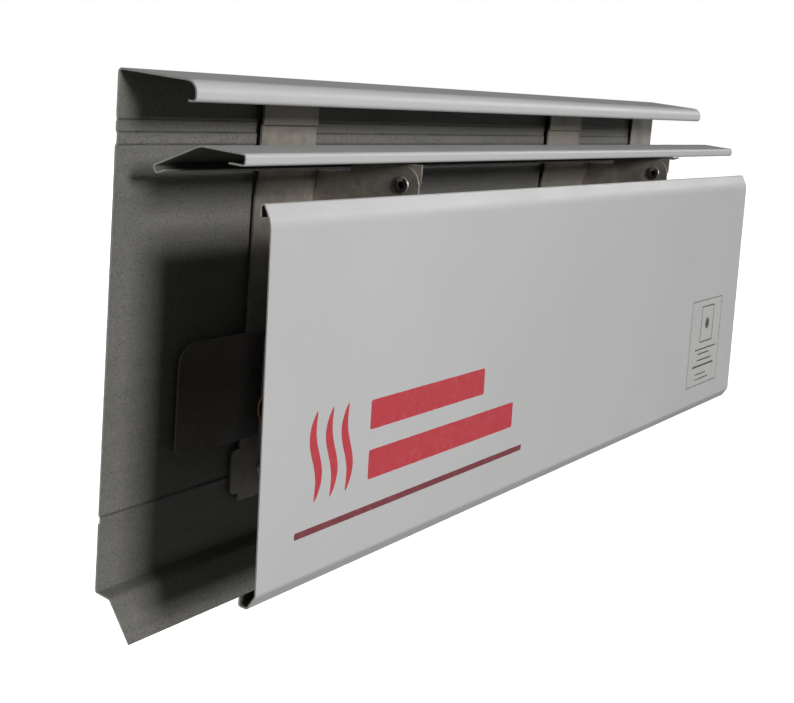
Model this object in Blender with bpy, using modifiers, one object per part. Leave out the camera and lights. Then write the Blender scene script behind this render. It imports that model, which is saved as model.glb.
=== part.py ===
"""Hydronic baseboard heater: a short wall section with hood, snap-on cover, damper and fin-tube element.

Own frame of the parts: X runs along the heater from the back panel's left end, Y = 0 is the wall and the
room is at -Y, Z = 0 is the floor. One empty moves that frame so that the world origin is the centre of the
back panel's wall face.
"""
import math

import bmesh
import bpy

# Driving dimensions, in metres.
LENGTH = 0.610  # cover and damper
PANEL_LENGTH = 0.5985
HEIGHT = 0.2410  # floor to the top of the hood
COVER_SHIFT = 0.0055  # cover and damper stand this far along from the back panel's end
SHEET = 0.0008  # panels
BRACKET_SHEET = 0.0012
GAP = 0.0003  # between pieces that touch
WALL_POINT_HEIGHT = 0.131  # centre of the wall face above the floor
BRACKETS = ((0.0960, 0.049, 0.045), (0.4125, 0.068, 0.049))  # start, width to the web, width under the hood
BRACKET_FACE = 0.0036  # front of a bracket's standing plate, out from the wall

# Hood and back panel.
HOOD_DEPTH = 0.0403
HOOD_DROP = 0.0025
LIP_BOTTOM = 0.2297
BEAD_DEPTH = 0.0007
STEP_HEIGHT = 0.0174
KICK_DEPTH = 0.0195

# Front cover.
COVER_TOP = 0.1937
COVER_FACE_TOP = -0.0755  # Y of the face at the top and at the bottom: it leans out a little
COVER_FACE_BOTTOM = -0.0792
COVER_LEG = -0.0694
COVER_HEM = 0.0283

# Damper.
PIVOT_Y = -0.0530
PIVOT_Z = 0.1955
DAMPER_FRONT = -0.0616
DAMPER_REAR = -0.0150
PIVOT_HOLE = 0.0031
NOSE_RADIUS = 0.0094
BOSS_RADIUS = 0.0070
ARM_FRONT = -0.0624

# Splice plate.
SPLICE_START = 0.5585
SPLICE_END = 0.5980
SPLICE_SHEET = 0.0010

# Fixing rivets: (x from the start of the piece, z).
RIVET_RADIUS = 0.0020
RIVET_HEAD = 0.0036
BRACKET_RIVETS = ((0.022, 0.172), (0.018, 0.054))
SPLICE_RIVETS = ((0.020, 0.170), (0.020, 0.080))

# Element.
TUBE_RADIUS = 0.0111
TUBE_WALL = 0.0011
TUBE_Y = -0.0380
TUBE_Z = 0.0935
TUBE_START = 0.074
TUBE_END = 0.585
FIN_WIDTH = 0.056
FIN_HEIGHT = 0.060
FIN_SHEET = 0.0004
FIN_PITCH = 0.00635
FIN_COUNT = 70
FIN_START = 0.100
SHELF_Z = 0.0592  # top of a bracket's shelf
CRADLE_SHEET = 0.0010

ARC_STEPS = 6


def clear_scene():
    for thing in list(bpy.data.objects):
        bpy.data.objects.remove(thing)


def new_collection(name):
    made = bpy.data.collections.new(name)
    bpy.context.scene.collection.children.link(made)
    return made


def material(name, colour, roughness, metallic):
    made = bpy.data.materials.new(name)
    made.use_nodes = True
    shader = made.node_tree.nodes["Principled BSDF"]
    shader.inputs["Base Color"].default_value = (*colour, 1.0)
    shader.inputs["Roughness"].default_value = roughness
    shader.inputs["Metallic"].default_value = metallic
    return made


def fillet(corners, closed=False):
    """Points along a line of (across, up, radius) corners, each rounded by its radius."""
    count = len(corners)
    points = []
    for i, (a, b, radius) in enumerate(corners):
        inner = closed or 0 < i < count - 1
        if radius == 0 or not inner:
            points.append((a, b))
            continue
        before = corners[i - 1]
        after = corners[(i + 1) % count]
        u = (before[0] - a, before[1] - b)
        v = (after[0] - a, after[1] - b)
        u = (u[0] / math.hypot(*u), u[1] / math.hypot(*u))
        v = (v[0] / math.hypot(*v), v[1] / math.hypot(*v))
        half = math.acos(max(-1.0, min(1.0, u[0] * v[0] + u[1] * v[1]))) / 2
        middle = (u[0] + v[0], u[1] + v[1])
        reach = radius / math.sin(half) / math.hypot(*middle)
        centre = (a + middle[0] * reach, b + middle[1] * reach)
        run = radius / math.tan(half)
        start = math.atan2(b + u[1] * run - centre[1], a + u[0] * run - centre[0])
        end = math.atan2(b + v[1] * run - centre[1], a + v[0] * run - centre[0])
        turn = (end - start + math.pi) % (2 * math.pi) - math.pi
        for step in range(ARC_STEPS + 1):
            angle = start + turn * step / ARC_STEPS
            points.append((centre[0] + radius * math.cos(angle), centre[1] + radius * math.sin(angle)))
    return points


def circle(a, b, radius, sides):
    turn = 2 * math.pi / sides
    return [(a + radius * math.cos(turn * i), b + radius * math.sin(turn * i)) for i in range(sides)]


def place(obj, collection, frame, skin=None):
    collection.objects.link(obj)
    obj.parent = frame
    if skin:
        obj.data.materials.append(skin)
    return obj


def smooth(obj):
    obj.data.shade_smooth()
    obj.data.set_sharp_from_angle(angle=math.radians(30))


def folded_sheet(name, corners, start, end, thickness):
    """A sheet folded along X. Its corners are (y, z, radius) on the outer side, and the metal is on the right."""
    mesh = bpy.data.meshes.new(name)
    form = bmesh.new()
    line = [form.verts.new((start, y, z)) for y, z in fillet(corners)]
    edges = [form.edges.new(pair) for pair in zip(line, line[1:])]
    made = bmesh.ops.extrude_edge_only(form, edges=edges)["geom"]
    moved = [item for item in made if isinstance(item, bmesh.types.BMVert)]
    bmesh.ops.translate(form, verts=moved, vec=(end - start, 0, 0))
    form.to_mesh(mesh)
    form.free()
    obj = bpy.data.objects.new(name, mesh)
    solid = obj.modifiers.new("thickness", "SOLIDIFY")
    solid.thickness = thickness
    solid.offset = -1
    solid.use_even_offset = True
    return obj


def flat_plate(name, outlines, thickness):
    """A plate cut to 2D outlines, the first its edge and the rest holes, centred on its own XY plane."""
    curve = bpy.data.curves.new(name, "CURVE")
    curve.dimensions = "2D"
    curve.fill_mode = "BOTH"
    curve.extrude = thickness / 2
    for outline in outlines:
        spline = curve.splines.new("POLY")
        spline.points.add(len(outline) - 1)
        for point, (a, b) in zip(spline.points, outline):
            point.co = (a, b, 0, 1)
        spline.use_cyclic_u = True
    shape = bpy.data.objects.new(name, curve)
    bpy.context.scene.collection.objects.link(shape)
    bpy.context.view_layer.update()
    mesh = bpy.data.meshes.new_from_object(shape.evaluated_get(bpy.context.evaluated_depsgraph_get()))
    bpy.data.objects.remove(shape)
    form = bmesh.new()
    form.from_mesh(mesh)
    bmesh.ops.remove_doubles(form, verts=form.verts, dist=0.00001)
    form.to_mesh(mesh)
    form.free()
    mesh.name = name
    return bpy.data.objects.new(name, mesh)


def across(obj, x):
    """Stands a flat plate across the heater at x: its own X, Y become Y, Z."""
    obj.rotation_euler = (math.pi / 2, 0, math.pi / 2)
    obj.location = (x, 0, 0)
    return obj


def along(obj, y):
    """Stands a flat plate against the wall at y: its own X, Y become X, Z."""
    obj.rotation_euler = (math.pi / 2, 0, 0)
    obj.location = (0, y, 0)
    return obj


def join(obj, *others):
    for other in others:
        other.hide_render = True
        other.display_type = "WIRE"
        union = obj.modifiers.new(other.name, "BOOLEAN")
        union.operation = "UNION"
        union.object = other


def cut(obj, cutter):
    cutter.hide_render = True
    cutter.display_type = "WIRE"
    difference = obj.modifiers.new(cutter.name, "BOOLEAN")
    difference.operation = "DIFFERENCE"
    difference.object = cutter


def turned(name, profile, sides):
    """A solid turned about X from (x, radius) points that run round its section."""
    mesh = bpy.data.meshes.new(name)
    form = bmesh.new()
    line = [form.verts.new((x, 0, radius)) for x, radius in profile]
    for pair in zip(line, line[1:] + line[:1]):
        form.edges.new(pair)
    form.to_mesh(mesh)
    form.free()
    obj = bpy.data.objects.new(name, mesh)
    screw = obj.modifiers.new("turn", "SCREW")
    screw.axis = "X"
    screw.steps = sides
    screw.render_steps = sides
    screw.use_merge_vertices = True
    screw.merge_threshold = 0.00001
    return obj


def back_panel():
    """Wall sheet and hood in one: rolled lip, hood, three shallow beads, a step and the kick-out."""
    bead = -BEAD_DEPTH
    corners = [
        (-HOOD_DEPTH + 0.0042, LIP_BOTTOM + 0.0002, 0),
        (-HOOD_DEPTH, LIP_BOTTOM, 0.0021),
        (-HOOD_DEPTH, HEIGHT - HOOD_DROP, 0.0055),
        (0, HEIGHT, 0.0020),
        (0, 0.2216, 0),
        (bead / 2, 0.2209, 0),
        (bead / 2, 0.2197, 0),
        (0, 0.2190, 0),
        (0, 0.2157, 0),
        (bead, 0.2146, 0),
        (bead, 0.2106, 0),
        (0, 0.2095, 0),
        (0, 0.0532, 0),
        (bead, 0.0522, 0),
        (bead, 0.0502, 0),
        (0, 0.0492, 0),
        (0, STEP_HEIGHT + 0.0015, 0.0015),
        (-0.0079, STEP_HEIGHT, 0.0020),
        (-KICK_DEPTH, 0, 0),
    ]
    return folded_sheet("back_panel", corners, 0, PANEL_LENGTH, SHEET)


def front_cover():
    """Leaning face with a bottom fold and hem, and a top roll whose leg drops behind the bracket hooks."""
    corners = [
        (-0.0706, COVER_HEM + 0.0045, 0),
        (-0.0706, COVER_HEM + 0.0004, 0.0014),
        (-0.0753, COVER_HEM, 0.0016),
        (COVER_FACE_BOTTOM, 0.0345, 0.0040),
        (COVER_FACE_TOP, COVER_TOP - 0.0075, 0.0140),
        (COVER_FACE_TOP + 0.0038, COVER_TOP, 0.0012),
        (COVER_LEG, COVER_TOP - 0.0008, 0.0010),
        (COVER_LEG, COVER_TOP - 0.0058, 0),
    ]
    return folded_sheet("front_cover", corners, COVER_SHIFT, COVER_SHIFT + LENGTH, SHEET)


def damper_corners():
    return [
        (DAMPER_FRONT + 0.0084, 0.2070, 0),
        (DAMPER_FRONT + 0.0002, 0.2066, 0.0015),
        (DAMPER_FRONT, 0.2118, 0.0017),
        (-0.0388, 0.2132, 0.0080),
        (DAMPER_REAR, 0.2031, 0.0014),
        (DAMPER_REAR - 0.0020, 0.1995, 0.0012),
        (DAMPER_REAR - 0.0068, 0.2011, 0),
    ]


def damper_blade(pivot):
    """Blade with a rolled front edge and a rolled rear hem, drawn about its pivot line."""
    corners = [(y - PIVOT_Y, z - PIVOT_Z, radius) for y, z, radius in damper_corners()]
    blade = folded_sheet("damper_blade", corners, COVER_SHIFT, COVER_SHIFT + LENGTH, SHEET)
    blade.location = pivot
    return blade


def blade_underside(y):
    """Height of the blade's underside between its front roll and its ridge."""
    front = damper_corners()[2]
    ridge = damper_corners()[3]
    share = (y - front[0]) / (ridge[0] - front[0])
    return front[1] + share * (ridge[1] - front[1]) - SHEET


def bracket_web(name):
    """C-shaped web across the heater: shelf arm below, spine, and damper arm with its nose and cover hook."""
    bottom = 0.036
    hook_top = COVER_TOP - 0.0039
    nose = []
    for step in range(7):
        angle = math.radians(90 + 15 * step)
        nose.append((PIVOT_Y + NOSE_RADIUS * math.cos(angle), PIVOT_Z + NOSE_RADIUS * math.sin(angle), 0))
    corners = [
        (-0.0030, bottom, 0),
        (-0.0560, bottom, 0.006),
        (-0.0690, 0.0300, 0.002),
        (-0.0690, SHELF_Z, 0.004),
        (-0.0080, SHELF_Z, 0.003),
        (-0.0080, 0.1800, 0.008),
        (-0.0480, 0.1800, 0.010),
        (-0.0560, 0.1750, 0.006),
        (-0.0738, 0.1750, 0.004),
        (-0.0738, hook_top - 0.0038, 0),
        (-0.0722, hook_top, 0),
        (-0.0713, hook_top, 0),
        (-0.0713, 0.1832, 0.001),
        (PIVOT_Y - NOSE_RADIUS, 0.1832, 0.001),
        *reversed(nose),
        (-0.0270, PIVOT_Z + NOSE_RADIUS, 0.003),
        (-0.0230, 0.1982, 0.003),
        (-0.0055, 0.1982, 0),
        (-0.0055, 0.1900, 0),
        (-0.0030, 0.1860, 0),
    ]
    hole = circle(PIVOT_Y, PIVOT_Z, PIVOT_HOLE, 16)
    return flat_plate(name, [fillet(corners, closed=True), hole], BRACKET_SHEET)


def hanger_bracket(number, start, end, tongue, cutters, frame):
    """Stamped bracket: standing plate with hood tab and foot, web, and the shelf bent from the web."""
    plate_face = -BRACKET_FACE
    raised_face = -0.0060
    upright = [
        (plate_face, 0.040, 0),
        (plate_face, 0.186, 0.003),
        (-0.0052, 0.195, 0.003),
        (-0.0052, 0.2183, 0),
        (raised_face, 0.2197, 0),
        (raised_face, 0.2376, 0.002),
        (-0.0180, 0.2370, 0),
    ]
    bracket = folded_sheet(f"hanger_bracket_{number}", upright, start, end, BRACKET_SHEET)
    web = across(bracket_web(f"web_{number}"), end - BRACKET_SHEET / 2)
    left = start - 0.006
    foot_outline = fillet(
        [
            (left, 0.044, 0.003),
            (start + 0.010, 0.044, 0),
            (start + 0.010, 0.066, 0),
            (left, 0.066, 0.003),
        ],
        closed=True,
    )
    foot = flat_plate(f"foot_{number}", [foot_outline], BRACKET_SHEET)
    along(foot, plate_face + BRACKET_SHEET / 2)
    shelf_outline = [
        (end - 0.026, -0.0640),
        (end - BRACKET_SHEET / 2, -0.0640),
        (end - BRACKET_SHEET / 2, -0.0060),
        (end - 0.026, -0.0060),
    ]
    shelf = flat_plate(f"shelf_{number}", [shelf_outline], BRACKET_SHEET)
    shelf.location = (0, 0, SHELF_Z - BRACKET_SHEET / 2)
    for cutter in (web, foot, shelf):
        place(cutter, cutters, frame)
    join(bracket, web, foot, shelf)
    notch_outline = [
        (start + tongue, 0.2030),
        (end + 0.001, 0.2030),
        (end + 0.001, HEIGHT),
        (start + tongue, HEIGHT),
    ]
    notch = along(flat_plate(f"notch_{number}", [notch_outline], 0.060), 0)
    cut(bracket, place(notch, cutters, frame))
    return bracket


def arm_face(web):
    """X of the side of a damper arm that faces its bracket's web."""
    return web + 0.0005


def damper_arm(number, web, cutters, frame, pivot):
    """Arm beside the web: from the pivot up to a flange under the blade, drawn about the pivot line."""
    flange_rear = -0.0400
    flange_front = -0.0515
    drop = GAP + BRACKET_SHEET / 2

    def local(y, z):
        return (y - PIVOT_Y, z - PIVOT_Z)

    boss = []
    for degrees in range(230, 361, 20):
        angle = math.radians(degrees)
        boss.append((BOSS_RADIUS * math.cos(angle), BOSS_RADIUS * math.sin(angle)))
    outline = boss + [
        local(flange_rear, 0.2040),
        local(flange_rear, blade_underside(flange_rear) - drop),
        local(flange_front, blade_underside(flange_front) - drop),
        local(flange_front, 0.2058),
        local(ARM_FRONT, 0.2058),
        local(ARM_FRONT, 0.1970),
        local(ARM_FRONT + 0.0040, 0.1905),
    ]
    hole = circle(0, 0, PIVOT_HOLE, 16)
    side = arm_face(web) + BRACKET_SHEET / 2
    arm = across(flat_plate(f"damper_arm_{number}", [outline, hole], BRACKET_SHEET), side)
    arm.location = (side, pivot[1], pivot[2])
    slope = math.atan2(
        blade_underside(flange_rear) - blade_underside(flange_front),
        flange_rear - flange_front,
    )
    half = (flange_rear - flange_front) / math.cos(slope) / 2
    outline = [(0, -half), (0.0120, -half), (0.0120, half), (0, half)]
    flange = flat_plate(f"arm_flange_{number}", [outline], BRACKET_SHEET)
    middle = (flange_rear + flange_front) / 2
    flange.rotation_euler = (slope, 0, 0)
    flange.location = (side - BRACKET_SHEET / 2, middle, blade_underside(middle) - drop)
    place(flange, cutters, frame)
    join(arm, flange)
    return arm


def pivot_rivet(number, web, pivot):
    """Semi-tubular rivet through web and arm: its bore opens on the web's side, to the left."""
    shank = PIVOT_HOLE - 0.0002
    left = web - BRACKET_SHEET - GAP
    right = arm_face(web) + BRACKET_SHEET + 0.0012
    head = 0.0007
    profile = [
        (right + head, 0.0),
        (right + head, 0.0036),
        (right, 0.0044),
        (right, shank),
        (left, shank),
        (left, 0.0044),
        (left - head, 0.0038),
        (left - head, 0.0017),
        (left + 0.0024, 0.0017),
        (left + 0.0024, 0.0),
    ]
    rivet = turned(f"pivot_rivet_{number}", profile, 16)
    rivet.location = (0, pivot[1], pivot[2])
    return rivet


def friction_washer(number, web, pivot):
    """Thin washer between the arm and the rivet's head: its drag holds the damper where it is set."""
    face = arm_face(web) + BRACKET_SHEET + GAP
    thick = 0.0006
    profile = [(face + thick, 0.0052), (face, 0.0052), (face, 0.0033), (face + thick, 0.0033)]
    washer = turned(f"friction_washer_{number}", profile, 16)
    washer.location = (0, pivot[1], pivot[2])
    return washer


def glide(number, web):
    """Plastic pad clipped over the bracket's shelf, on which the cradle slides."""
    left = web - 0.026
    pad_bottom = SHELF_Z + GAP
    shelf_bottom = SHELF_Z - BRACKET_SHEET - GAP
    outline = [
        (left - 0.0016, shelf_bottom - 0.0014),
        (left + 0.0050, shelf_bottom - 0.0014),
        (left + 0.0050, shelf_bottom),
        (left - GAP, shelf_bottom),
        (left - GAP, pad_bottom),
        (left + 0.0235, pad_bottom),
        (left + 0.0235, pad_bottom + 0.0022),
        (left - 0.0016, pad_bottom + 0.0022),
    ]
    pad = along(flat_plate(f"expansion_glide_{number}", [outline], 0.036), TUBE_Y)
    return pad


def cradle(number, web, cutters, frame):
    """Sliding carrier of the element: a shelf with a front lip under the fins, and a back plate with a wing."""
    shelf = SHELF_Z + GAP + 0.0022 + GAP
    back = -0.0039
    front = TUBE_Y - FIN_WIDTH / 2 - 0.0016
    inside = [
        (front, shelf + CRADLE_SHEET + 0.0070, 0),
        (front, shelf, 0.0022),
        (back, shelf, 0.0022),
        (back, shelf + 0.060, 0),
    ]
    body = folded_sheet(
        f"element_cradle_{number}", list(reversed(inside)), web - 0.029, web - 0.006, CRADLE_SHEET
    )
    wing_outline = fillet(
        [
            (web - 0.1010, 0.0710, 0.004),
            (web - 0.0070, 0.0710, 0),
            (web - 0.0070, 0.1225, 0),
            (web - 0.1010, 0.1225, 0.010),
        ],
        closed=True,
    )
    wing = flat_plate(f"wing_{number}", [wing_outline], CRADLE_SHEET)
    along(wing, back - CRADLE_SHEET / 2)
    place(wing, cutters, frame)
    join(body, wing)
    return body


def splice_plate():
    """Joiner that laps the next section: it follows the panel's inner face and hooks up under the hood."""
    face = -(SHEET + GAP + SPLICE_SHEET)
    raised = -0.0042
    profile = [
        (face, 0.062, 0),
        (face, 0.190, 0.003),
        (raised, 0.196, 0.003),
        (raised, 0.2378, 0.002),
        (-0.0300, 0.2370, 0),
    ]
    return folded_sheet("splice_plate", profile, SPLICE_START, SPLICE_END, SPLICE_SHEET)


def rivet_hole(name, x, z):
    hole = flat_plate(name, [circle(x, z, RIVET_RADIUS + 0.0001, 16)], 0.030)
    return along(hole, 0)


def fixing_rivet(name, x, z, face):
    """Solid rivet flush with the wall face, with its head on a plate whose front stands that far out."""
    under_head = face + GAP
    top = under_head + 0.0011
    profile = [
        (top, 0.0),
        (top, RIVET_HEAD * 0.7),
        (under_head, RIVET_HEAD),
        (under_head, RIVET_RADIUS),
        (0.0, RIVET_RADIUS),
        (0.0, 0.0),
    ]
    rivet = turned(name, profile, 16)
    rivet.rotation_euler = (0, 0, -math.pi / 2)
    rivet.location = (x, 0, z)
    return rivet


def copper_tube():
    inner = TUBE_RADIUS - TUBE_WALL
    profile = [
        (TUBE_END, TUBE_RADIUS),
        (TUBE_START, TUBE_RADIUS),
        (TUBE_START, inner),
        (TUBE_END, inner),
    ]
    tube = turned("copper_tube", profile, 20)
    tube.location = (0, TUBE_Y, TUBE_Z)
    return tube


def fin_pack():
    """Aluminium fins on one sleeve: each fin's drawn collar meets the next fin."""
    sides = 8
    bore = (TUBE_RADIUS + GAP) / math.cos(math.pi / sides)
    collar = bore + 0.0006
    form = bmesh.new()

    def ring_points(x, kind):
        for i in range(sides):
            angle = math.pi / 4 * i
            y = math.cos(angle)
            z = math.sin(angle)
            if kind == "fin":
                reach = 1 / max(abs(y), abs(z))
                yield (x, y * reach * FIN_WIDTH / 2, z * reach * FIN_HEIGHT / 2)
            else:
                yield (x, y * kind, z * kind)

    def extend(edges, x, kind):
        """Extrudes the last ring and moves its copy to the next ring's points."""
        made = bmesh.ops.extrude_edge_only(form, edges=edges)["geom"]
        verts = [item for item in made if isinstance(item, bmesh.types.BMVert)]
        verts.sort(key=lambda vert: math.atan2(vert.co.z, vert.co.y) % (2 * math.pi - 0.01))
        for vert, point in zip(verts, ring_points(x, kind)):
            vert.co = point
        return [item for item in made if isinstance(item, bmesh.types.BMEdge)]

    first = [form.verts.new(point) for point in ring_points(FIN_START, bore)]
    edges = [form.edges.new(pair) for pair in zip(first, first[1:] + first[:1])]
    start_edges = list(edges)
    edges = extend(edges, FIN_START, collar)
    for i in range(FIN_COUNT):
        x = FIN_START + 0.001 + FIN_PITCH * i
        edges = extend(edges, x, collar)
        edges = extend(edges, x, "fin")
        edges = extend(edges, x + FIN_SHEET, "fin")
        edges = extend(edges, x + FIN_SHEET, collar)
    last = FIN_START + 0.001 + FIN_PITCH * FIN_COUNT
    edges = extend(edges, last, collar)
    edges = extend(edges, last, bore)
    bmesh.ops.bridge_loops(form, edges=edges + start_edges)
    bmesh.ops.recalc_face_normals(form, faces=form.faces)
    mesh = bpy.data.meshes.new("fin_pack")
    form.to_mesh(mesh)
    form.free()
    pack = bpy.data.objects.new("fin_pack", mesh)
    pack.location = (0, TUBE_Y, TUBE_Z)
    return pack


def rivet_to_panel(piece, name, start, places, face):
    """Cuts the rivets' holes through the piece and the back panel, and sets a rivet in each."""
    for mark, (x, z) in zip("ab", places):
        hole = place(rivet_hole(f"{name}_{mark}_hole", start + x, z), helpers, base)
        cut(piece, hole)
        cut(panel, hole)
        place(fixing_rivet(f"{name}_{mark}", start + x, z, face), heater, base, steel)


clear_scene()
heater = new_collection("baseboard_heater")
helpers = new_collection("cutters")
base = bpy.data.objects.new("floor_frame", None)
base.location = (-PANEL_LENGTH / 2, 0, -WALL_POINT_HEIGHT)
heater.objects.link(base)

enamel = material("white_enamel", (0.72, 0.72, 0.71), 0.38, 0.0)
backer = material("grey_backer_steel", (0.30, 0.30, 0.28), 0.50, 0.3)
galvanised = material("galvanised_steel", (0.38, 0.36, 0.33), 0.45, 0.8)
copper = material("copper", (0.72, 0.40, 0.26), 0.32, 1.0)
aluminium = material("fin_aluminium", (0.78, 0.79, 0.80), 0.35, 1.0)
nylon = material("glide_plastic", (0.82, 0.81, 0.76), 0.45, 0.0)
steel = material("rivet_steel", (0.55, 0.54, 0.52), 0.35, 1.0)

pivot_line = (0, PIVOT_Y, PIVOT_Z)

panel = place(back_panel(), heater, base, backer)
place(front_cover(), heater, base, enamel)
place(damper_blade(pivot_line), heater, base, enamel)
for count, (start_x, width, tongue_width) in enumerate(BRACKETS, start=1):
    web_x = start_x + width
    bracket = hanger_bracket(count, start_x, web_x, tongue_width, helpers, base)
    place(bracket, heater, base, galvanised)
    rivet_to_panel(bracket, f"bracket_rivet_{count}", start_x, BRACKET_RIVETS, BRACKET_FACE)
    place(damper_arm(count, web_x, helpers, base, pivot_line), heater, base, galvanised)
    place(pivot_rivet(count, web_x, pivot_line), heater, base, steel)
    place(friction_washer(count, web_x, pivot_line), heater, base, steel)
    place(glide(count, web_x), heater, base, nylon)
    place(cradle(count, web_x, helpers, base), heater, base, galvanised)
splice = place(splice_plate(), heater, base, galvanised)
rivet_to_panel(splice, "splice_rivet", SPLICE_START, SPLICE_RIVETS, SHEET + GAP + SPLICE_SHEET)
place(copper_tube(), heater, base, copper)
place(fin_pack(), heater, base, aluminium)
for shape in heater.objects:
    if shape.type == "MESH":
        smooth(shape)
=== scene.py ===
"""Looks of the short baseboard heater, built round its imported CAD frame.

Each CAD node gets a finer piece in its place: welded, with rounded edges, smooth bends and a material for
each side of its sheet. The tube, the fins, the fixing rivets and the printed marks are made here in full.
World frame, in metres: X runs along the heater, Y = 0 is the wall and the room is at -Y, and the floor is at
the back panel's lower edge.
"""
import math

import bmesh
import bpy
from mathutils import Matrix, Vector


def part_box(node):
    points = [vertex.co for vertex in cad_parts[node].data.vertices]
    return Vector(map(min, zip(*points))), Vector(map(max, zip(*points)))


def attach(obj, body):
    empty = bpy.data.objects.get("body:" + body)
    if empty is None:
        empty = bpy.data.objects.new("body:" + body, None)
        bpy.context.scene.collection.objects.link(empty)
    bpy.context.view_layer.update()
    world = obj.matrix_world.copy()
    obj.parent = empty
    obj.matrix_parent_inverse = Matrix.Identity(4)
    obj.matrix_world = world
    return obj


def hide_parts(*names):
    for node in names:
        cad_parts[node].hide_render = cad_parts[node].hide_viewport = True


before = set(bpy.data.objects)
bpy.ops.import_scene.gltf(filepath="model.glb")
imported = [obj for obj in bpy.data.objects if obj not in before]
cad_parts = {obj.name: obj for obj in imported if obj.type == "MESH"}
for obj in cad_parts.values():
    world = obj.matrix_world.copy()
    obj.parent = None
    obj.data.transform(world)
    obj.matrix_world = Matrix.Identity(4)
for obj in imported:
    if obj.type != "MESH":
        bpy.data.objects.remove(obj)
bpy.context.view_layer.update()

# The camera, from the cover's left end on the floor line: place, turn, tilt and roll, and its lens.
CAMERA_PLACE = Vector((-0.4861, -0.4084, 0.2473))
CAMERA_TURN = 1.0637
CAMERA_TILT = 0.1777
CAMERA_ROLL = -0.0799
CAMERA_LENS = 68.72
CAMERA_SHIFT = (-0.0089, -0.0061)

SOFT_EDGE = 0.00012  # rounding of a sheet's cut edges
PLATE_EDGE = 0.00015  # and of a stamped steel piece's
BEND_STEP = math.radians(35)  # a larger angle between two faces is an edge
PRINT_THICKNESS = 0.00004
BORE_RADIUS = 0.0019  # a pivot rivet's bore, with a little to spare

STAGE_RADIUS = 9.0

# Levels in Z of the bends of the back panel and of the brackets' standing plates, where a dark line of
# painted shade is put into the colour.
PANEL_SHADE_LINES = (0.0893, 0.0842, 0.0790, -0.0783)
PLATE_SHADE_LINES = (0.0880,)

FIN_COUNT = 70
FIN_PITCH = 0.00635
FIN_FOIL = 0.00022
FIN_CORNER = 0.0045
FIN_RIPPLE = 0.00035
COLLAR_GAP = 0.0003  # between the tube and the middle of a collar's foil
COLLAR_FLARE = 0.0012  # how far a collar spreads where it leaves its plate
TUBE_WALL = 0.0011
TUBE_CHAMFER = 0.0003
RIVET_RISE = 0.0011  # height of a fixing rivet's dome


# ---------------------------------------------------------------- materials


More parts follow.
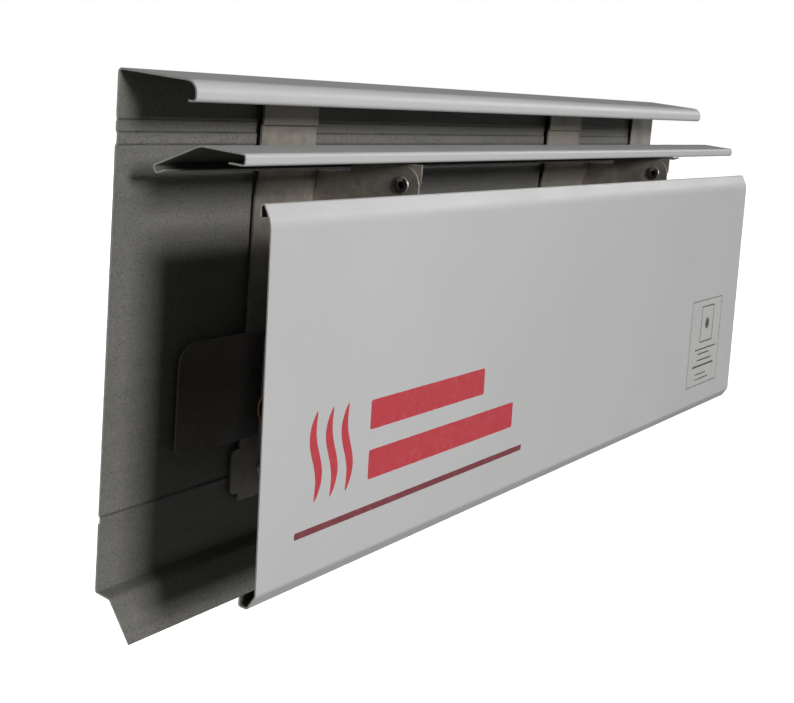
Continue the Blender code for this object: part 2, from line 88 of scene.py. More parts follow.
class Paint:
    """A Principled material and the few nodes that its patterns are made of."""

    def __init__(self, name, roughness, metallic=0.0):
        self.made = bpy.data.materials.new(name)
        self.made.use_nodes = True
        self.tree = self.made.node_tree
        self.shader = self.tree.nodes["Principled BSDF"]
        self.shader.inputs["Roughness"].default_value = roughness
        self.shader.inputs["Metallic"].default_value = metallic
        self.place = self.tree.nodes.new("ShaderNodeTexCoord").outputs["Object"]

    def link(self, source, target):
        self.tree.links.new(source, target)

    def stretched(self, factors):
        """The surface's own place, scaled along X, Y and Z, so that a pattern runs along the sheet."""
        mapping = self.tree.nodes.new("ShaderNodeMapping")
        mapping.inputs["Scale"].default_value = factors
        self.link(self.place, mapping.inputs["Vector"])
        return mapping.outputs["Vector"]

    def noise(self, scale, detail=3.0, rough=0.55, factors=(1, 1, 1)):
        node = self.tree.nodes.new("ShaderNodeTexNoise")
        node.inputs["Scale"].default_value = scale
        node.inputs["Detail"].default_value = detail
        node.inputs["Roughness"].default_value = rough
        self.link(self.stretched(factors), node.inputs["Vector"])
        return node.outputs["Fac"]

    def cells(self, scale, factors=(1, 1, 1)):
        """A random grey for each cell, as on a spangled zinc coat."""
        node = self.tree.nodes.new("ShaderNodeTexVoronoi")
        node.inputs["Scale"].default_value = scale
        self.link(self.stretched(factors), node.inputs["Vector"])
        split = self.tree.nodes.new("ShaderNodeSeparateColor")
        self.link(node.outputs["Color"], split.inputs["Color"])
        return split.outputs["Red"]

    def spread(self, value, low, high, to_low=0.0, to_high=1.0):
        node = self.tree.nodes.new("ShaderNodeMapRange")
        node.inputs["From Min"].default_value = low
        node.inputs["From Max"].default_value = high
        node.inputs["To Min"].default_value = to_low
        node.inputs["To Max"].default_value = to_high
        self.link(value, node.inputs["Value"])
        return node.outputs["Result"]

    def mixed(self, amount, first, second):
        """first where amount is 0 and second where it is 1; each is a colour or a colour socket."""
        node = self.tree.nodes.new("ShaderNodeMix")
        node.data_type = "RGBA"
        self.link(amount, node.inputs["Factor"])
        for socket, colour in ((node.inputs[6], first), (node.inputs[7], second)):
            if isinstance(colour, tuple):
                socket.default_value = (*colour, 1.0)
            else:
                self.link(colour, socket)
        return node.outputs[2]

    def edges(self, reach):
        """1 on the outer edges and corners of a piece, within that reach, and 0 elsewhere."""
        rounded = self.tree.nodes.new("ShaderNodeBevel")
        rounded.inputs["Radius"].default_value = reach
        plain = self.tree.nodes.new("ShaderNodeNewGeometry")
        dot = self.tree.nodes.new("ShaderNodeVectorMath")
        dot.operation = "DOT_PRODUCT"
        self.link(rounded.outputs["Normal"], dot.inputs[0])
        self.link(plain.outputs["Normal"], dot.inputs[1])
        return self.spread(dot.outputs["Value"], 0.97, 0.80)

    def bands(self, lines, half_width):
        """1 along each of the levels in Z that are listed, fading to 0 over that half width."""
        split = self.tree.nodes.new("ShaderNodeSeparateXYZ")
        self.link(self.place, split.inputs["Vector"])
        total = None
        for level in lines:
            away = self.tree.nodes.new("ShaderNodeMath")
            away.operation = "SUBTRACT"
            self.link(split.outputs["Z"], away.inputs[0])
            away.inputs[1].default_value = level
            size = self.tree.nodes.new("ShaderNodeMath")
            size.operation = "ABSOLUTE"
            self.link(away.outputs["Value"], size.inputs[0])
            band = self.spread(size.outputs["Value"], half_width, 0.0)
            if total is not None:
                band = self.most(total, band)
            total = band
        return total

    def most(self, first, second):
        node = self.tree.nodes.new("ShaderNodeMath")
        node.operation = "MAXIMUM"
        self.link(first, node.inputs[0])
        self.link(second, node.inputs[1])
        return node.outputs["Value"]

    def times(self, first, second):
        node = self.tree.nodes.new("ShaderNodeMath")
        node.operation = "MULTIPLY"
        self.link(first, node.inputs[0])
        self.link(second, node.inputs[1])
        return node.outputs["Value"]

    def colour(self, socket):
        self.link(socket, self.shader.inputs["Base Color"])

    def roughness(self, socket):
        self.link(socket, self.shader.inputs["Roughness"])

    def bump(self, socket, distance, strength=1.0):
        node = self.tree.nodes.new("ShaderNodeBump")
        node.inputs["Distance"].default_value = distance
        node.inputs["Strength"].default_value = strength
        self.link(socket, node.inputs["Height"])
        self.link(node.outputs["Normal"], self.shader.inputs["Normal"])


def enamel():
    """Satin off-white baked enamel: faint orange peel, hand marks, dust, and steel at worn edges."""
    paint = Paint("white_enamel", 0.38)
    cloud = paint.spread(paint.noise(7.0, 4.0), 0.35, 0.70)
    base = paint.mixed(cloud, (0.545, 0.545, 0.541), (0.520, 0.520, 0.514))
    dust = paint.spread(paint.noise(420.0, 2.0), 0.70, 0.78, 0.0, 0.30)
    base = paint.mixed(dust, base, (0.42, 0.41, 0.39))
    chips = paint.spread(paint.noise(160.0, 3.0), 0.56, 0.66)
    worn = paint.times(paint.edges(0.0005), chips)
    paint.colour(paint.mixed(worn, base, (0.30, 0.28, 0.25)))
    paint.roughness(paint.spread(paint.noise(22.0, 5.0), 0.3, 0.7, 0.34, 0.46))
    paint.bump(paint.noise(800.0, 2.0), 0.00004, 0.6)
    paint.shader.inputs["Specular IOR Level"].default_value = 0.5
    return paint.made


def backer():
    """Thin grey primer on the room side of the wall sheet: roll streaks, blotches, fine specks, and patchy
    dark lines of painted shade along its bends.
    """
    paint = Paint("grey_backer", 0.50)
    streaks = paint.spread(paint.noise(30.0, 6.0, 0.65, (0.25, 6, 6)), 0.30, 0.72)
    base = paint.mixed(streaks, (0.152, 0.148, 0.134), (0.205, 0.199, 0.184))
    blotches = paint.spread(paint.noise(9.0, 5.0), 0.38, 0.68, 0.0, 0.55)
    base = paint.mixed(blotches, base, (0.132, 0.133, 0.118))
    specks = paint.spread(paint.noise(1100.0, 2.0), 0.56, 0.66, 0.0, 0.55)
    base = paint.mixed(specks, base, (0.250, 0.236, 0.214))
    pits = paint.spread(paint.noise(950.0, 2.0), 0.46, 0.36, 0.0, 0.50)
    base = paint.mixed(pits, base, (0.060, 0.060, 0.053))
    # Painted shade: near-black patchy lines at the panel's bend levels, standing in for the shade in its
    # creases.
    patchy = paint.spread(paint.noise(24.0, 4.0), 0.25, 0.60, 0.35, 0.95)
    base = paint.mixed(paint.times(paint.bands(PANEL_SHADE_LINES, 0.0007), patchy), base, (0.026, 0.025, 0.022))
    worn = paint.times(paint.edges(0.0005), paint.spread(paint.noise(200.0, 3.0), 0.42, 0.56))
    paint.colour(paint.mixed(worn, base, (0.42, 0.41, 0.38)))
    paint.roughness(paint.spread(paint.noise(45.0, 5.0, 0.6, (0.3, 3, 3)), 0.3, 0.7, 0.42, 0.60))
    paint.bump(paint.noise(900.0, 3.0), 0.00005, 0.7)
    return paint.made


def inside_primer():
    """Dark thin primer on the inside of the cover and the damper: wiped streaks over the steel."""
    paint = Paint("inside_primer", 0.55)
    streaks = paint.spread(paint.noise(34.0, 6.0, 0.65, (0.25, 6, 6)), 0.30, 0.72)
    base = paint.mixed(streaks, (0.085, 0.081, 0.074), (0.125, 0.120, 0.110))
    paint.colour(paint.mixed(paint.edges(0.0005), base, (0.30, 0.29, 0.27)))
    paint.roughness(paint.spread(paint.noise(60.0, 4.0), 0.3, 0.7, 0.46, 0.62))
    paint.bump(paint.noise(900.0, 3.0), 0.00005, 0.6)
    return paint.made


def zinc(name, light, dark, spangle, shade_lines=()):
    """Galvanised steel: dull spangles, drawing lines and rubbed edges, with a dark line of painted shade at
    each bend level given.
    """
    paint = Paint(name, 0.42, 0.55)
    cells = paint.cells(spangle)
    base = paint.mixed(cells, dark, light)
    lines = paint.spread(paint.noise(60.0, 6.0, 0.7, (6, 6, 0.3)), 0.35, 0.70, 0.0, 0.5)
    base = paint.mixed(lines, base, dark)
    stains = paint.spread(paint.noise(26.0, 4.0), 0.55, 0.75, 0.0, 0.6)
    base = paint.mixed(stains, base, tuple(0.6 * part for part in dark))
    # Painted shade: a dark line along each listed bend level, standing in for the shade of the fold.
    if shade_lines:
        base = paint.mixed(paint.bands(shade_lines, 0.0006), base, (0.05, 0.046, 0.040))
    paint.colour(paint.mixed(paint.edges(0.0004), base, (0.52, 0.50, 0.46)))
    paint.roughness(paint.spread(cells, 0.0, 1.0, 0.36, 0.54))
    paint.bump(paint.noise(600.0, 3.0), 0.00004, 0.6)
    return paint.made


def cut_steel():
    """Sheared sheet end: bright bare steel with shear lines and a little oxide."""
    paint = Paint("cut_steel", 0.45, 0.35)
    lines = paint.spread(paint.noise(500.0, 4.0, 0.6, (4, 1, 1)), 0.35, 0.65)
    base = paint.mixed(lines, (0.80, 0.79, 0.74), (0.62, 0.60, 0.55))
    oxide = paint.spread(paint.noise(90.0, 4.0), 0.60, 0.72, 0.0, 0.5)
    paint.colour(paint.mixed(oxide, base, (0.36, 0.27, 0.19)))
    paint.roughness(paint.spread(lines, 0.0, 1.0, 0.38, 0.55))
    return paint.made


def copper():
    """Drawn tube: tarnish patches and drawing lines along it."""
    paint = Paint("copper", 0.32, 1.0)
    lines = paint.spread(paint.noise(90.0, 5.0, 0.6, (0.1, 6, 6)), 0.35, 0.70)
    base = paint.mixed(lines, (0.74, 0.40, 0.25), (0.60, 0.30, 0.18))
    tarnish = paint.spread(paint.noise(38.0, 6.0), 0.48, 0.70, 0.0, 0.8)
    paint.colour(paint.mixed(tarnish, base, (0.26, 0.13, 0.08)))
    paint.roughness(paint.spread(paint.noise(50.0, 5.0), 0.3, 0.7, 0.24, 0.46))
    paint.bump(lines, 0.00002, 0.5)
    return paint.made


def fin_metal():
    """Mill-finish aluminium foil: brushed grain, with dust grey on the fins."""
    paint = Paint("fin_aluminium", 0.36, 0.9)
    grain = paint.spread(paint.noise(300.0, 5.0, 0.6, (1, 8, 0.5)), 0.3, 0.7)
    base = paint.mixed(grain, (0.72, 0.73, 0.74), (0.58, 0.59, 0.60))
    dust = paint.spread(paint.noise(60.0, 4.0), 0.50, 0.72, 0.0, 0.6)
    paint.colour(paint.mixed(dust, base, (0.33, 0.32, 0.30)))
    paint.roughness(paint.spread(grain, 0.0, 1.0, 0.30, 0.48))
    return paint.made


def nylon():
    """Moulded pad: slightly yellowed, with a matt skin."""
    paint = Paint("glide_plastic", 0.48)
    cloud = paint.spread(paint.noise(80.0, 3.0), 0.35, 0.65)
    base = paint.mixed(cloud, (0.74, 0.72, 0.65), (0.66, 0.63, 0.55))
    paint.colour(paint.mixed(paint.edges(0.0004), base, (0.80, 0.78, 0.72)))
    paint.roughness(paint.spread(paint.noise(300.0, 3.0), 0.3, 0.7, 0.42, 0.56))
    paint.bump(paint.noise(1500.0, 2.0), 0.00003, 0.5)
    return paint.made


def painted_bore_shade():
    """Near-black colour in a rivet's bore: painted shade of the hole."""
    paint = Paint("painted_bore_shade", 0.70)
    bore_mottle = paint.spread(paint.noise(700.0, 4.0), 0.4, 0.7)
    paint.colour(paint.mixed(bore_mottle, (0.012, 0.011, 0.010), (0.035, 0.031, 0.026)))
    return paint.made


def rivet_steel():
    """Zinc-plated rivet: turned scuffs and dull patches."""
    paint = Paint("rivet_steel", 0.34, 0.85)
    scuffs = paint.spread(paint.noise(500.0, 4.0), 0.35, 0.68)
    base = paint.mixed(scuffs, (0.56, 0.55, 0.52), (0.34, 0.33, 0.31))
    paint.colour(paint.mixed(paint.edges(0.0003), base, (0.70, 0.69, 0.66)))
    paint.roughness(paint.spread(scuffs, 0.0, 1.0, 0.28, 0.50))
    return paint.made


def ink(name, colour, faded):
    """Screen print: even colour with slightly thin patches."""
    paint = Paint(name, 0.42)
    thin = paint.spread(paint.noise(260.0, 4.0), 0.50, 0.75, 0.0, 0.5)
    paint.colour(paint.mixed(thin, colour, faded))
    paint.roughness(paint.spread(paint.noise(120.0, 3.0), 0.3, 0.7, 0.38, 0.50))
    return paint.made


def label_film():
    """Clear-backed sticker in nearly the enamel's tone, a little glossier, with hand smudges."""
    paint = Paint("label_film", 0.30)
    smudge = paint.spread(paint.noise(90.0, 4.0), 0.42, 0.68)
    paint.colour(paint.mixed(smudge, (0.555, 0.552, 0.540), (0.525, 0.520, 0.505)))
    paint.roughness(paint.spread(paint.noise(60.0, 4.0), 0.3, 0.7, 0.26, 0.38))
    return paint.made


def floor_paint():
    """Pale matt floor with a barely visible mottle."""
    paint = Paint("pale_floor", 0.85)
    mottle = paint.spread(paint.noise(3.0, 4.0), 0.3, 0.7)
    paint.colour(paint.mixed(mottle, (0.90, 0.90, 0.90), (0.87, 0.87, 0.875)))
    return paint.made


# ---------------------------------------------------------------- mesh tools


def new_piece(name, form, materials):
    """Turns a bmesh into an object with these materials."""
    bmesh.ops.recalc_face_normals(form, faces=form.faces)
    mesh = bpy.data.meshes.new(name)
    form.to_mesh(mesh)
    form.free()
    for skin in materials:
        mesh.materials.append(skin)
    obj = bpy.data.objects.new(name, mesh)
    bpy.context.scene.collection.objects.link(obj)
    return obj


def applied(obj):
    """Replaces the object's mesh with the result of its modifiers."""
    graph = bpy.context.evaluated_depsgraph_get()
    mesh = bpy.data.meshes.new_from_object(obj.evaluated_get(graph))
    obj.modifiers.clear()
    obj.data = mesh
    mesh.name = obj.name
    return mesh


def settle(obj):
    """Applies the modifiers and shades the result, so that bends are smooth and edges stay sharp."""
    mesh = applied(obj)
    mesh.shade_smooth()
    mesh.set_sharp_from_angle(angle=BEND_STEP)
    return obj


def keep_flats_flat(obj):
    """Turns the shading of shared corners towards the larger faces, so that flat sheet looks flat."""
    weights = obj.modifiers.new("flat_sheet", "WEIGHTED_NORMAL")
    weights.keep_sharp = True
    weights.weight = 100
    applied(obj)
    return obj


def rounded(obj, width):
    bevel = obj.modifiers.new("soft_edges", "BEVEL")
    bevel.width = width
    bevel.segments = 2
    bevel.limit_method = "ANGLE"
    bevel.angle_limit = BEND_STEP
    return keep_flats_flat(settle(obj))


def node_form(node):
    """A CAD node's mesh as a bmesh, welded, with its flat facets merged."""
    form = bmesh.new()
    form.from_mesh(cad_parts[node].data)
    bmesh.ops.remove_doubles(form, verts=form.verts, dist=0.000002)
    bmesh.ops.dissolve_limit(
        form, angle_limit=math.radians(0.5), verts=form.verts, edges=form.edges, delimit=set()
    )
    bmesh.ops.recalc_face_normals(form, faces=form.faces)
    return form


def paint_sides(form, outward):
    """Marks the faces of a folded sheet by side.

    0 is the side of its largest face towards outward, 1 the other side and 2 its sheared ends.
    """
    for face in form.faces:
        face.material_index = 2 if abs(face.normal.x) > 0.7 else 1
    first = max(form.faces, key=lambda face: face.calc_area() * face.normal.dot(outward))
    first.material_index = 0
    waiting = [first]
    while waiting:
        face = waiting.pop()
        for edge in face.edges:
            for other in edge.link_faces:
                bend = face.normal.angle(other.normal)
                if other.material_index == 1 and bend < BEND_STEP:
                    other.material_index = 0
                    waiting.append(other)


def finish_piece(obj, body, slot, *nodes):
    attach(obj, body)
    if nodes:
        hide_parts(*nodes)
    return obj


def sheet_piece(node, body, slot, skins, outward):
    """A finer copy of a folded-sheet node, with its outer side, inner side and sheared ends painted apart."""
    form = node_form(node)
    paint_sides(form, Vector(outward))
    obj = rounded(new_piece(f"{node}_sheet", form, skins), SOFT_EDGE)
    return finish_piece(obj, body, slot, node)


def plain_piece(node, body, slot, skin, edge):
    """A finer copy of a node in one material."""
    obj = rounded(new_piece(f"{node}_fine", node_form(node), [skin]), edge)
    return finish_piece(obj, body, slot, node)


def bracket(node, skins):
    """A hanger bracket: its plates along the wall take the lighter zinc, its web and shelf a darker copy of
    it, which is painted shade.
    """
    form = node_form(node)
    for face in form.faces:
        face.material_index = 0 if abs(face.normal.y) > 0.6 else 1
    obj = rounded(new_piece(f"{node}_fine", form, skins), PLATE_EDGE)
    return finish_piece(obj, "wall_frame", "bracket_steel", node)


def turned_form(profile, sides):
    """A bmesh turned about X through the origin from (x, radius) points."""
    form = bmesh.new()
    line = [form.verts.new((x, 0, radius)) for x, radius in profile]
    edges = [form.edges.new(pair) for pair in zip(line, line[1:])]
    bmesh.ops.spin(
        form,
        geom=line + edges,
        axis=(1, 0, 0),
        cent=(0, 0, 0),
        angle=2 * math.pi,
        steps=sides,
    )
    bmesh.ops.remove_doubles(form, verts=form.verts, dist=0.000001)
    return form


# ---------------------------------------------------------------- rivets and washers


def arc_points(centre, radius, start, end, steps):
    """(x, r) points on an arc, by angles in degrees from the +x direction."""
    points = []
    for step in range(steps + 1):
        angle = math.radians(start + (end - start) * step / steps)
        points.append((centre[0] + radius * math.cos(angle), centre[1] + radius * math.sin(angle)))
    return points


def domed_rivet(node, skin):
    """Fixing rivet: a low dome on the plate, and its clinched end flush with the wall face."""
    low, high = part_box(node)
    head = (high.x - low.x) / 2
    length = high.y - low.y
    shank = head * 0.55
    rise = RIVET_RISE
    dome = (head * head + rise * rise) / (2 * rise)
    sweep = math.degrees(math.asin(head / dome))
    clinch = [(0.0, 0.0), (0.0, shank * 0.94), (0.00006, shank)]
    profile = clinch + [(length - rise, shank), (length - rise, head)]
    profile += arc_points((length - dome, 0.0), dome, sweep, 0.0, 6)
    form = turned_form(profile, 32)
    middle = (low + high) / 2
    stand = Matrix.Translation((middle.x, high.y, middle.z)) @ Matrix.Rotation(-math.pi / 2, 4, "Z")
    bmesh.ops.transform(form, matrix=stand, verts=form.verts)
    obj = settle(new_piece(f"{node}_domed", form, [skin]))
    return finish_piece(obj, "wall_frame", "rivet_steel", node)


def pivot_rivet(node, skins):
    """Semi-tubular pivot rivet, plated outside, with painted shade inside its bore."""
    form = node_form(node)
    low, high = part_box(node)
    middle = (low + high) / 2
    for face in form.faces:
        centre = face.calc_center_median()
        out = math.hypot(centre.y - middle.y, centre.z - middle.z)
        inward = centre.x < high.x - 0.0015 and out < BORE_RADIUS
        face.material_index = 1 if inward else 0
    obj = rounded(new_piece(f"{node}_fine", form, skins), 0.00020)
    return finish_piece(obj, "wall_frame", "rivet_steel", node)


# ---------------------------------------------------------------- element


def fin_outline(half_width, half_height, steps):
    """Points round a square fin with rounded corners, and each one's unit direction from the centre."""
    points = []
    for corner in range(4):
        side_y = (1, -1, -1, 1)[corner]
        side_z = (1, 1, -1, -1)[corner]
        for step in range(steps + 1):
            angle = math.pi / 2 * (corner + step / steps)
            y = side_y * (half_width - FIN_CORNER) + FIN_CORNER * math.cos(angle)
            z = side_z * (half_height - FIN_CORNER) + FIN_CORNER * math.sin(angle)
            points.append((y, z))
    return points


def fin_ring(form, x, outline, centre, share, collar, wave):
    """One ring of a fin, from its collar (share 0) to its edge (share 1), with its ripple along X."""
    ring = []
    for y, z in outline:
        angle = math.atan2(z, y)
        inner = Vector((collar * math.cos(angle), collar * math.sin(angle)))
        point = inner.lerp(Vector((y, z)), share)
        ripple = FIN_RIPPLE * wave * share * math.cos(6 * angle)
        ring.append(form.verts.new((x + ripple, centre.y + point.x, centre.z + point.y)))
    return ring


def bridge(form, first, second):
    for i, vert in enumerate(first):
        after = (i + 1) % len(first)
        form.faces.new((vert, first[after], second[after], second[i]))


def fin_pack(metal):
    """Seventy drawn fins, each with a flared collar on the tube and a rippled plate with rounded corners."""
    low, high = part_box("fin_pack")
    tube_low, tube_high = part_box("copper_tube")
    centre = (tube_low + tube_high) / 2
    bore = (tube_high.z - tube_low.z) / 2 + COLLAR_GAP
    outline = fin_outline((high.y - low.y) / 2, (high.z - low.z) / 2, 5)
    form = bmesh.new()
    for i in range(FIN_COUNT):
        start = low.x + 0.001 + FIN_PITCH * i
        wave = 1 if i % 2 else -1
        collar_end = start + FIN_PITCH - 0.0004
        root = bore + COLLAR_FLARE
        rings = [
            fin_ring(form, collar_end, outline, centre, 0.0, bore + 0.0001, 0),
            fin_ring(form, start + 0.0012, outline, centre, 0.0, bore + 0.0003, 0),
            fin_ring(form, start + 0.0002, outline, centre, 0.0, root, 0),
        ]
        for share in (0.15, 0.55, 1.0):
            rings.append(fin_ring(form, start, outline, centre, share, root, wave))
        for first, second in zip(rings, rings[1:]):
            bridge(form, first, second)
    obj = new_piece("fin_pack_drawn", form, [metal])
    solid = obj.modifiers.new("foil", "SOLIDIFY")
    solid.thickness = FIN_FOIL
    solid.offset = 0
    settle(obj)
    return finish_piece(obj, "element", "fin_aluminium", "fin_pack")


def tube(skin):
    """Copper tube with its sawn ends chamfered inside and out."""
    low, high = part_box("copper_tube")
    radius = (high.z - low.z) / 2
    inner = radius - TUBE_WALL
    chamfer = TUBE_CHAMFER
    profile = [
        (low.x, inner + chamfer),
        (low.x, radius - chamfer),
        (low.x + chamfer, radius),
        (high.x - chamfer, radius),
        (high.x, radius - chamfer),
        (high.x, inner + chamfer),
        (high.x - chamfer, inner),
        (low.x + chamfer, inner),
        (low.x, inner + chamfer),
    ]
    form = turned_form(profile, 64)
    middle = (low + high) / 2
    bmesh.ops.translate(form, verts=form.verts, vec=(0, middle.y, middle.z))
    obj = settle(new_piece("copper_tube_drawn", form, [skin]))
    return finish_piece(obj, "element", "copper", "copper_tube")


# ---------------------------------------------------------------- printed marks on the cover


def cover_face():
    """The cover's front face as a frame: its lower left corner, X along it, Y up it and Z out of it."""
    form = node_form("front_cover")
    face = max(form.faces, key=lambda one: one.calc_area() * -one.normal.y)
    lower = min((vert.co for vert in face.verts), key=lambda point: point.z + point.x * 0.01)
    out = face.normal.copy()
    right = Vector((1, 0, 0))
    up = out.cross(right)
    place = Matrix((right, up, out)).transposed().to_4x4()
    place.translation = lower.copy()
    form.free()
    return place


def printed(name, outlines, skin, slot, lift=0.0):
    """Flat shapes printed on the cover, each an outline of (along, up) points from the face's corner."""
    curve = bpy.data.curves.new(name, "CURVE")
    curve.dimensions = "2D"
    curve.fill_mode = "BOTH"
    curve.extrude = PRINT_THICKNESS / 2
    for outline in outlines:
        spline = curve.splines.new("POLY")
        spline.points.add(len(outline) - 1)
        for point, (a, b) in zip(spline.points, outline):
            point.co = (a, b, 0, 1)
        spline.use_cyclic_u = True
    shape = bpy.data.objects.new(name, curve)
    bpy.context.scene.collection.objects.link(shape)
    bpy.context.view_layer.update()
    mesh = bpy.data.meshes.new_from_object(shape.evaluated_get(bpy.context.evaluated_depsgraph_get()))
    bpy.data.objects.remove(shape)
    form = bmesh.new()
    form.from_mesh(mesh)
    bpy.data.meshes.remove(mesh)
    bmesh.ops.remove_doubles(form, verts=form.verts, dist=0.000005)
    stand = cover_face() @ Matrix.Translation((0, 0, lift + PRINT_THICKNESS / 2 + 0.00001))
    bmesh.ops.transform(form, matrix=stand, verts=form.verts)
    obj = settle(new_piece(name, form, [skin]))
    return finish_piece(obj, "cover", slot)


def bar(left, bottom, right, top, radius):
    """Outline of a bar with rounded corners."""
    points = []
    corners = ((right, top), (left, top), (left, bottom), (right, bottom))
    for number, (a, b) in enumerate(corners):
        centre_a = a - radius if a == right else a + radius
        centre_b = b - radius if b == top else b + radius
        for step in range(5):
            angle = math.pi / 2 * (number + step / 4)
            points.append((centre_a + radius * math.cos(angle), centre_b + radius * math.sin(angle)))
    return points


def warm_wave(left, bottom, height, width, swing):
    """Outline of one rising wave of warm air: an S-shaped stroke with pointed ends."""
    steps = 28
    centre = []
    for step in range(steps + 1):
        share = step / steps
        middle = left + swing * math.sin(2 * math.pi * share)
        centre.append((middle, bottom + height * share, width / 2 * math.sin(math.pi * share) ** 0.6))
    right_side = [(a + half, b) for a, b, half in centre]
    left_side = [(a - half, b) for a, b, half in reversed(centre[1:-1])]
    return right_side + left_side


def frame_outlines(left, bottom, right, top, line):
    """A thin rectangle's border, as its outer and inner outline."""
    outer = bar(left, bottom, right, top, 0.0008)
    inner = bar(left + line, bottom + line, right - line, top - line, 0.0005)
    return [outer, inner]


def printed_marks(red, dark_red, film, grey):
    """A plain warm-air sign beside two bars, a rule below them, and a ruled sticker at the right end."""
    waves = [warm_wave(0.040 + 0.0125 * i, 0.030, 0.040, 0.0062, 0.0028) for i in range(3)]
    printed("print_waves", waves, red, "front_enamel")
    bars = [
        bar(0.084, 0.0545, 0.196, 0.0680, 0.0012),
        bar(0.084, 0.0315, 0.232, 0.0450, 0.0012),
    ]
    printed("print_bars", bars, red, "front_enamel")
    printed("print_rule", [bar(0.026, 0.0165, 0.246, 0.0195, 0.0010)], dark_red, "front_enamel")
    printed("label_film", [bar(0.512, 0.010, 0.578, 0.074, 0.0030)], film, "front_enamel")
    lines = [
        bar(0.526, 0.0368, 0.570, 0.0378, 0.0004),
        bar(0.523, 0.0246, 0.567, 0.0260, 0.0004),
        bar(0.532, 0.0335, 0.556, 0.0345, 0.0004),
        bar(0.532, 0.0290, 0.562, 0.0300, 0.0004),
        bar(0.530, 0.0190, 0.552, 0.0198, 0.0003),
        bar(0.530, 0.0155, 0.558, 0.0163, 0.0003),
    ]
    lines += frame_outlines(0.534, 0.0420, 0.560, 0.0680, 0.0009)
    lines += [bar(0.543, 0.0510, 0.551, 0.0590, 0.0039)]
    printed("label_lines", lines, grey, "front_enamel", PRINT_THICKNESS)
    border = frame_outlines(0.5135, 0.0115, 0.5765, 0.0725, 0.0005)
    printed("label_border", border, grey, "front_enamel", PRINT_THICKNESS)


# ---------------------------------------------------------------- object


def build_heater():
    white = enamel()
    grey = backer()
    bare = cut_steel()
    dark = inside_primer()
    bracket_zinc = zinc("bracket_zinc", (0.45, 0.412, 0.360), (0.37, 0.338, 0.292), 260.0, PLATE_SHADE_LINES)
    # Painted shade: the cradles' zinc is made darker than the brackets' to stand in for the shade inside the
    # heater, behind the cover.
    cradle_zinc = zinc("cradle_zinc", (0.25, 0.232, 0.218), (0.19, 0.178, 0.166), 200.0)
    # Painted shade: a darker copy of the bracket's zinc for faces that turn away from the wall, on the
    # brackets' webs and shelves and on the damper arms.
    web_zinc_painted_shade = zinc("web_zinc_painted_shade", (0.41, 0.374, 0.326), (0.30, 0.274, 0.238), 260.0)
    splice_zinc = zinc("splice_zinc", (0.46, 0.435, 0.400), (0.37, 0.350, 0.320), 130.0)
    dull_zinc = zinc("dull_plating", (0.33, 0.300, 0.262), (0.26, 0.236, 0.205), 400.0)
    bore_shade = painted_bore_shade()
    rivets = rivet_steel()
    plastic = nylon()

    sheet_piece("back_panel", "wall_frame", "backer_enamel", [white, grey, bare], (0, 1, 0))
    sheet_piece("front_cover", "cover", "front_enamel", [white, dark, bare], (0, -1, 0))
    sheet_piece("damper_blade", "damper", "front_enamel", [white, dark, bare], (0, 0, 1))
    plain_piece("splice_plate", "wall_frame", "bracket_steel", splice_zinc, PLATE_EDGE)
    for number in (1, 2):
        bracket(f"hanger_bracket_{number}", [bracket_zinc, web_zinc_painted_shade])
        plain_piece(f"damper_arm_{number}", "damper", "bracket_steel", web_zinc_painted_shade, PLATE_EDGE)
        pivot_rivet(f"pivot_rivet_{number}", [dull_zinc, bore_shade])
        plain_piece(f"friction_washer_{number}", "wall_frame", "rivet_steel", rivets, 0.00010)
        plain_piece(f"element_cradle_{number}", "element", "bracket_steel", cradle_zinc, PLATE_EDGE)
        plain_piece(f"expansion_glide_{number}", "wall_frame", "glide_plastic", plastic, 0.00030)
        for mark in "ab":
            domed_rivet(f"bracket_rivet_{number}_{mark}", rivets)
    for mark in "ab":
        domed_rivet(f"splice_rivet_{mark}", rivets)
    tube(copper())
    fin_pack(fin_metal())
    printed_marks(
        ink("red_print", (0.52, 0.050, 0.066), (0.55, 0.12, 0.13)),
        ink("dark_red_print", (0.20, 0.045, 0.055), (0.30, 0.10, 0.11)),
        label_film(),
        ink("grey_print", (0.10, 0.095, 0.085), (0.22, 0.21, 0.19)),
    )


# ---------------------------------------------------------------- room, lights and camera


def area_light(name, place, target, size, power, colour=(1, 1, 1)):
    data = bpy.data.lights.new(name, "AREA")
    data.shape = "RECTANGLE"
    data.size, data.size_y = size
    data.energy = power
    data.color = colour
    lamp = bpy.data.objects.new(name, data)
    lamp.location = place
    lamp.rotation_euler = (Vector(target) - Vector(place)).to_track_quat("-Z", "Y").to_euler()
    bpy.context.scene.collection.objects.link(lamp)
    return lamp


def show_only(obj):
    """The camera sees this part of the stage, but it neither lights the heater nor mirrors in it."""
    obj.visible_diffuse = False
    obj.visible_glossy = False
    obj.visible_shadow = False


def pale_floor(height):
    form = bmesh.new()
    bmesh.ops.create_circle(form, cap_ends=True, segments=64, radius=STAGE_RADIUS)
    bmesh.ops.translate(form, verts=form.verts, vec=(0, 0, height))
    floor = new_piece("floor", form, [floor_paint()])
    show_only(floor)
    return floor


def pale_backdrop(height):
    form = bmesh.new()
    bmesh.ops.create_uvsphere(form, u_segments=48, v_segments=24, radius=STAGE_RADIUS)
    bmesh.ops.translate(form, verts=form.verts, vec=(0, 0, height))
    paint = Paint("pale_backdrop", 1.0)
    paint.shader.inputs["Base Color"].default_value = (0, 0, 0, 1)
    paint.shader.inputs["Specular IOR Level"].default_value = 0
    paint.shader.inputs["Emission Color"].default_value = (1, 1, 1, 1)
    paint.shader.inputs["Emission Strength"].default_value = 1.0
    show_only(new_piece("backdrop", form, [paint.made]))


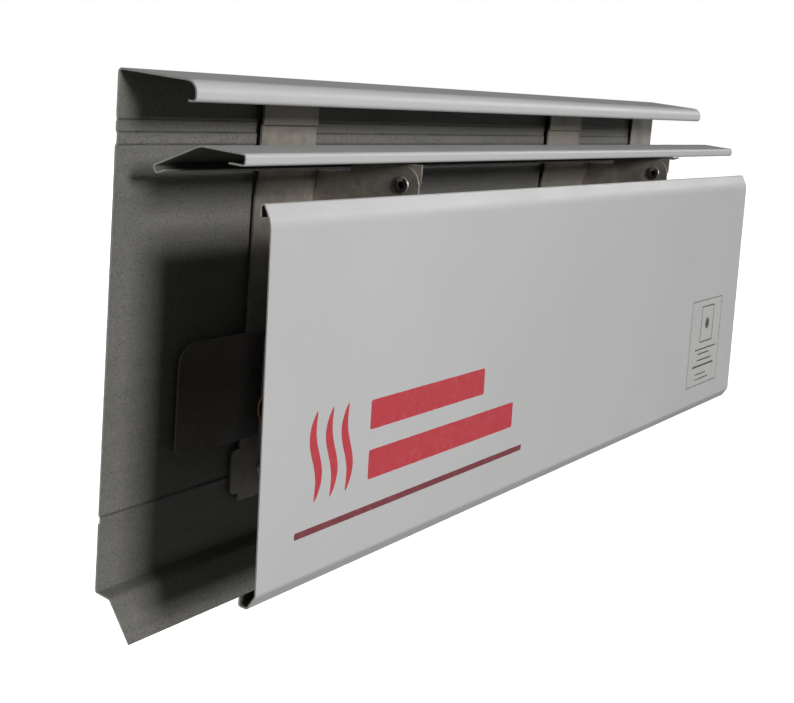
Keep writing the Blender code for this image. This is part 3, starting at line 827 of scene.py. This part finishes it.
def floor_wash(floor, strength):
    """An even light from above that only the floor receives, so that it stays as pale as its surroundings."""
    only_floor = bpy.data.collections.new("only_floor")
    only_floor.objects.link(floor)
    data = bpy.data.lights.new("floor_wash", "SUN")
    data.energy = strength
    data.use_shadow = False
    lamp = bpy.data.objects.new("floor_wash", data)
    lamp.light_linking.receiver_collection = only_floor
    bpy.context.scene.collection.objects.link(lamp)


def soft_room(strength):
    """Dim even light from all round."""
    world = bpy.data.worlds.new("soft_room")
    bpy.context.scene.world = world
    world.use_nodes = True
    background = world.node_tree.nodes["Background"]
    background.inputs["Color"].default_value = (0.97, 0.98, 1.0, 1)
    background.inputs["Strength"].default_value = strength


def photo_camera():
    """Camera at the photograph's place, set out from the cover's left end and the floor line."""
    cover_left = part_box("front_cover")[0].x
    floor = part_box("back_panel")[0].z
    turn, tilt, roll = CAMERA_TURN, CAMERA_TILT, CAMERA_ROLL
    ahead = Vector((math.sin(turn) * math.cos(tilt), math.cos(turn) * math.cos(tilt), -math.sin(tilt)))
    level_right = Vector((math.cos(turn), -math.sin(turn), 0))
    level_down = ahead.cross(level_right)
    right = math.cos(roll) * level_right + math.sin(roll) * level_down
    down = math.cos(roll) * level_down - math.sin(roll) * level_right
    stand = Matrix((right, -down, -ahead)).transposed().to_4x4()
    stand.translation = Vector((cover_left, 0, floor)) + CAMERA_PLACE
    data = bpy.data.cameras.new("photo_camera")
    data.sensor_width = 36
    data.lens = CAMERA_LENS
    data.shift_x, data.shift_y = CAMERA_SHIFT
    data.clip_start = 0.02
    camera = bpy.data.objects.new("photo_camera", data)
    bpy.context.scene.collection.objects.link(camera)
    camera.matrix_world = stand
    bpy.context.scene.camera = camera


def build_room():
    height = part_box("back_panel")[0].z - 0.0005
    floor_wash(pale_floor(height), 3.7)
    pale_backdrop(height)
    soft_room(0.135)
    area_light("key", (-0.86, -2.44, 0.91), (0, 0, 0), (0.80, 0.6), 60)
    area_light("right_softbox", (1.9, -0.9, 0.7), (0, 0, 0), (1.2, 0.5), 5)
    area_light("wall_side_fill", (0.5, 2.3, 0.15), (0, 0, 0), (1.6, 0.8), 26)
    photo_camera()
    bpy.context.scene.view_settings.view_transform = "Standard"


build_heater()
build_room()
